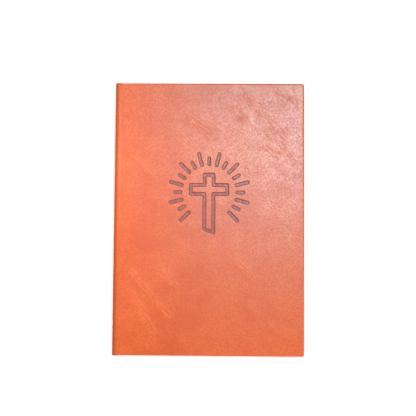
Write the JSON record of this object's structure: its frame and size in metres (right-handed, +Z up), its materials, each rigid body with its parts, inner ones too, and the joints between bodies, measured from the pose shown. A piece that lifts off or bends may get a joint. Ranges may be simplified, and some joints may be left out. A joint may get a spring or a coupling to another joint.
{
  "type": "prayer book",
  "caption": "Case-bound prayer book in tan pebble-grain leather with a cross and ring of rays pressed into the front; it opens flat at its middle pages.",
  "frame": {"origin": "middle of the closed book's underside, on the surface it lies on", "axes": "+X to the fore-edge, +Y to the head, +Z up through the front cover"},
  "size_m": [0.15, 0.2156, 0.018],
  "materials": {
    "leather": "satin, fine pebble grain",
    "foil": "matt pigment foil",
    "board": "matt greyboard",
    "endpaper": "matt laid paper",
    "paper": "matt book paper",
    "thread": "matt linen thread",
    "mull": "open cotton weave",
    "kraft": "matt kraft paper",
    "headband": "sewn silk bands"
  },
  "bodies": {
    "back_cover": {"back_board": "board", "back_leather": "leather", "back_joint_leather": "leather", "back_pastedown": "endpaper", "back_flyleaf": "endpaper", "mull_back_flap": "mull", "section_12": "paper", "sewing_thread_12": "thread"},
    "spine": {"spine_board": "board", "spine_leather": "leather", "oxford_hollow": "kraft", "mull_spine": "mull", "head_band": "headband", "tail_band": "headband"},
    "front_cover": {"front_board": "board", "front_leather": "leather", "front_joint_leather": "leather", "front_pastedown": "endpaper", "front_flyleaf": "endpaper", "mull_front_flap": "mull", "emblem_cross_foil": "foil", "emblem_ray_foil": "foil", "section_01": "paper", "sewing_thread_01": "thread"},
    "leaves_02": {"section_02": "paper", "sewing_thread_02": "thread"},
    "leaves_03": {"section_03": "paper", "sewing_thread_03": "thread"},
    "leaves_04": {"section_04": "paper", "sewing_thread_04": "thread"},
    "leaves_05": {"section_05": "paper", "sewing_thread_05": "thread"},
    "leaves_06": {"section_06": "paper", "sewing_thread_06": "thread"},
    "leaves_07": {"section_07": "paper", "sewing_thread_07": "thread"},
    "leaves_08": {"section_08": "paper", "sewing_thread_08": "thread"},
    "leaves_09": {"section_09": "paper", "sewing_thread_09": "thread"},
    "leaves_10": {"section_10": "paper", "sewing_thread_10": "thread"},
    "leaves_11": {"section_11": "paper", "sewing_thread_11": "thread"}
  },
  "joints": [
    {"name": "spine_hinge", "type": "hinge", "parent": "back_cover", "child": "spine", "pos_m": [-0.075, 0, 0], "axis": [0, -1, 0], "range_deg": [0, 90], "deforming": ["back_joint_leather"]},
    {"name": "front_cover_hinge", "type": "hinge", "parent": "spine", "child": "front_cover", "pos_m": [-0.075, 0, 0.018], "axis": [0, -1, 0], "range_deg": [0, 90.5], "deforming": ["front_joint_leather"]},
    {"name": "leaves_02_slide", "type": "slide", "parent": "front_cover", "child": "leaves_02", "axis": [-1, 0, 0], "range_m": [0, 0.00254]},
    {"name": "leaves_03_slide", "type": "slide", "parent": "front_cover", "child": "leaves_03", "axis": [-1, 0, 0], "range_m": [0, 0.00498]},
    {"name": "leaves_04_slide", "type": "slide", "parent": "front_cover", "child": "leaves_04", "axis": [-1, 0, 0], "range_m": [0, 0.00742]},
    {"name": "leaves_05_slide", "type": "slide", "parent": "front_cover", "child": "leaves_05", "axis": [-1, 0, 0], "range_m": [0, 0.00986]},
    {"name": "leaves_06_slide", "type": "slide", "parent": "front_cover", "child": "leaves_06", "axis": [-1, 0, 0], "range_m": [0, 0.0123]},
    {"name": "leaves_07_slide", "type": "slide", "parent": "back_cover", "child": "leaves_07", "axis": [-1, 0, 0], "range_m": [0, 0.0123]},
    {"name": "leaves_08_slide", "type": "slide", "parent": "back_cover", "child": "leaves_08", "axis": [-1, 0, 0], "range_m": [0, 0.00986]},
    {"name": "leaves_09_slide", "type": "slide", "parent": "back_cover", "child": "leaves_09", "axis": [-1, 0, 0], "range_m": [0, 0.00742]},
    {"name": "leaves_10_slide", "type": "slide", "parent": "back_cover", "child": "leaves_10", "axis": [-1, 0, 0], "range_m": [0, 0.00498]},
    {"name": "leaves_11_slide", "type": "slide", "parent": "back_cover", "child": "leaves_11", "axis": [-1, 0, 0], "range_m": [0, 0.00254]}
  ],
  "couplings": [
    {"joint": "front_cover_hinge", "follows": "spine_hinge", "ratio": 1},
    {"joint": "leaves_02_slide", "follows": "spine_hinge", "m_per_rad": 0.0015534},
    {"joint": "leaves_03_slide", "follows": "spine_hinge", "m_per_rad": 0.0031067},
    {"joint": "leaves_04_slide", "follows": "spine_hinge", "m_per_rad": 0.0046601},
    {"joint": "leaves_05_slide", "follows": "spine_hinge", "m_per_rad": 0.0062134},
    {"joint": "leaves_06_slide", "follows": "spine_hinge", "m_per_rad": 0.0077668},
    {"joint": "leaves_07_slide", "follows": "spine_hinge", "m_per_rad": 0.0077668},
    {"joint": "leaves_08_slide", "follows": "spine_hinge", "m_per_rad": 0.0062134},
    {"joint": "leaves_09_slide", "follows": "spine_hinge", "m_per_rad": 0.0046601},
    {"joint": "leaves_10_slide", "follows": "spine_hinge", "m_per_rad": 0.0031067},
    {"joint": "leaves_11_slide", "follows": "spine_hinge", "m_per_rad": 0.0015534}
  ]
}
